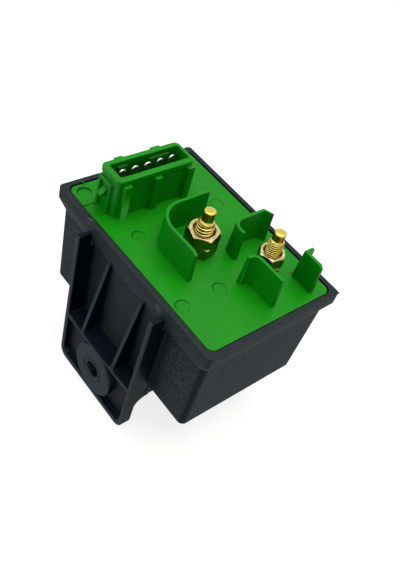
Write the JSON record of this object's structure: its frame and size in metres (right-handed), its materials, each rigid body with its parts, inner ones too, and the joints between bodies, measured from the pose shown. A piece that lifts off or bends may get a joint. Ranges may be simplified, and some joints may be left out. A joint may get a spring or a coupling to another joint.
{
  "type": "glow plug relay",
  "caption": "Glow plug relay with a ribbed black tub, a bolt-on foot, a keyed blade socket and threaded power studs between insulating guards.",
  "frame": {"origin": "centre of the foot's bolt hole on the mounting face", "axes": "+X along the long side from the socket to the studs, +Y from the mounting face into the relay, +Z out of the cover"},
  "size_m": [0.08, 0.0611, 0.0786],
  "materials": {
    "black_moulding": "black glass-filled moulding",
    "green_moulding": "bright green moulding",
    "tinned_contact": "tinned brass strip",
    "stud_brass": "rolled thread",
    "nut_brass": "yellow passivated",
    "copper": "stamped copper strip",
    "contact_silver": "silver contact tip",
    "carrier_plastic": "natural nylon",
    "relay_iron": "zinc plated soft iron",
    "screw_steel": "zinc plated steel",
    "winding_copper": "enamelled wire winding",
    "lead_sleeve": "insulated lead",
    "board_laminate": "glass-epoxy laminate",
    "component_black": "moulded component case",
    "capacitor_sleeve": "sleeved can"
  },
  "bodies": {
    "relay": {"housing": "black_moulding", "cover": "green_moulding", "blade_1": "tinned_contact", "blade_2": "tinned_contact", "blade_3": "tinned_contact", "blade_4": "tinned_contact", "blade_5": "tinned_contact", "supply_stud": "stud_brass", "supply_lock_nut": "nut_brass", "supply_nut": "nut_brass", "glow_stud": "stud_brass", "glow_lock_nut": "nut_brass", "glow_nut": "nut_brass", "supply_busbar": "copper", "glow_busbar": "copper", "supply_contact": "contact_silver", "glow_contact": "contact_silver", "yoke": "relay_iron", "yoke_screws": "screw_steel", "core": "relay_iron", "bobbin": "carrier_plastic", "coil_winding": "winding_copper", "coil_leads": "lead_sleeve", "return_spring": "screw_steel", "circuit_board": "board_laminate", "board_screws": "screw_steel", "control_chip": "component_black", "capacitor_1": "capacitor_sleeve", "capacitor_2": "capacitor_sleeve", "resistors": "component_black", "diode": "component_black", "driver_transistor": "component_black"},
    "armature_group": {"armature": "relay_iron", "contact_carrier": "carrier_plastic", "contact_bridge": "copper", "moving_contacts": "contact_silver", "carrier_rivets": "nut_brass"}
  },
  "joints": [
    {"name": "armature_hinge", "type": "hinge", "parent": "relay", "child": "armature_group", "pos_m": [-0.004, 0.0333, 0.0366], "axis": [0, 1, 0], "range_deg": [0, 2], "stiffness_Nm_per_rad": 0.02, "springref_deg": -11.46, "deforming": ["return_spring"]}
  ]
}
